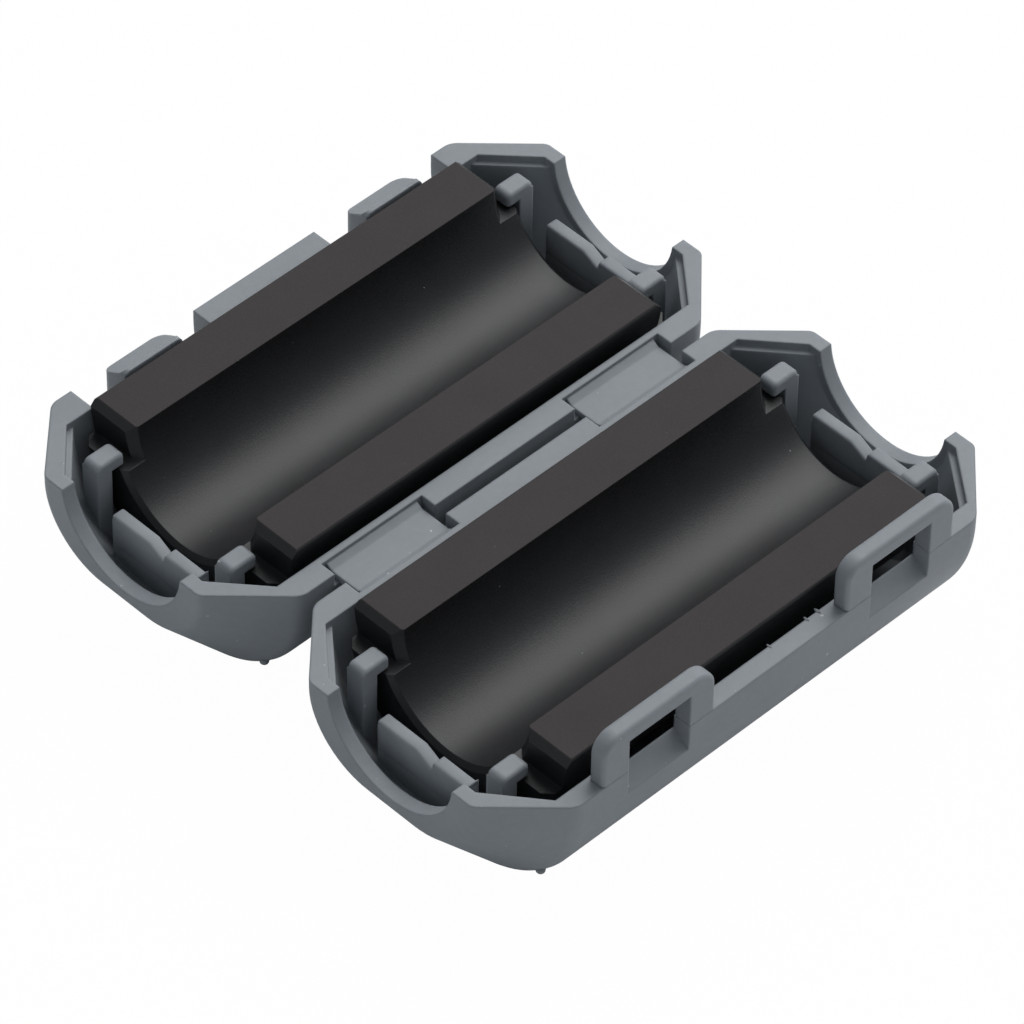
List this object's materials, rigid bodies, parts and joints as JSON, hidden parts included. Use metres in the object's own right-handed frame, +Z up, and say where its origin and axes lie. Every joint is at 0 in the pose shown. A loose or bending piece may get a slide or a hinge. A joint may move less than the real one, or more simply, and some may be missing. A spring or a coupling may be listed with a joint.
{
  "type": "clip-on ferrite core",
  "caption": "Clip-on ferrite choke for a round cable: a hinged plastic case, shown open, holding the two halves of a split ferrite sleeve.",
  "frame": {"origin": "midway between the two open half shells, at mid length, on the surface they lie on", "axes": "+Z up, out of the open shells; Y along the cable and the hinge; +X towards the half shell with the latch loops"},
  "size_m": [0.0434, 0.0404, 0.0137],
  "materials": {
    "case_plastic": "fine satin moulded nylon, grey",
    "ferrite": "sintered ferrite, dark grey, ground matt mating faces"
  },
  "bodies": {
    "latch_half": {"latch_case": "case_plastic", "hinge_strap_front": "case_plastic", "hinge_strap_rear": "case_plastic"},
    "catch_half": {"catch_case": "case_plastic"},
    "loop_front": {"latch_loop_front": "case_plastic"},
    "loop_rear": {"latch_loop_rear": "case_plastic"},
    "core_latch_side": {"ferrite_core_latch_side": "ferrite"},
    "core_catch_side": {"ferrite_core_catch_side": "ferrite"}
  },
  "joints": [
    {"name": "case_hinge", "type": "hinge", "parent": "latch_half", "child": "catch_half", "pos_m": [0, 0, 0.01035], "axis": [0, 1, 0], "range_deg": [0, 180], "deforming": ["hinge_strap_front", "hinge_strap_rear"]},
    {"name": "core_give_latch_side", "type": "slide", "parent": "latch_half", "child": "core_latch_side", "axis": [0, 0, 1], "range_m": [-0.00098, 0]},
    {"name": "core_give_catch_side", "type": "slide", "parent": "catch_half", "child": "core_catch_side", "axis": [0, 0, 1], "range_m": [-0.00098, 0]},
    {"name": "loop_flex_front", "type": "hinge", "parent": "latch_half", "child": "loop_front", "pos_m": [0.02165, -0.00965, 0.0103], "axis": [0, 1, 0], "range_deg": [0, 30], "stiffness_Nm_per_rad": 0.05},
    {"name": "loop_flex_rear", "type": "hinge", "parent": "latch_half", "child": "loop_rear", "pos_m": [0.02165, 0.00965, 0.0103], "axis": [0, 1, 0], "range_deg": [0, 30], "stiffness_Nm_per_rad": 0.05}
  ],
  "couplings": [
    {"joint": "core_give_latch_side", "follows": "case_hinge", "m_per_rad": -0.00030876},
    {"joint": "core_give_catch_side", "follows": "case_hinge", "m_per_rad": -0.00030876}
  ]
}
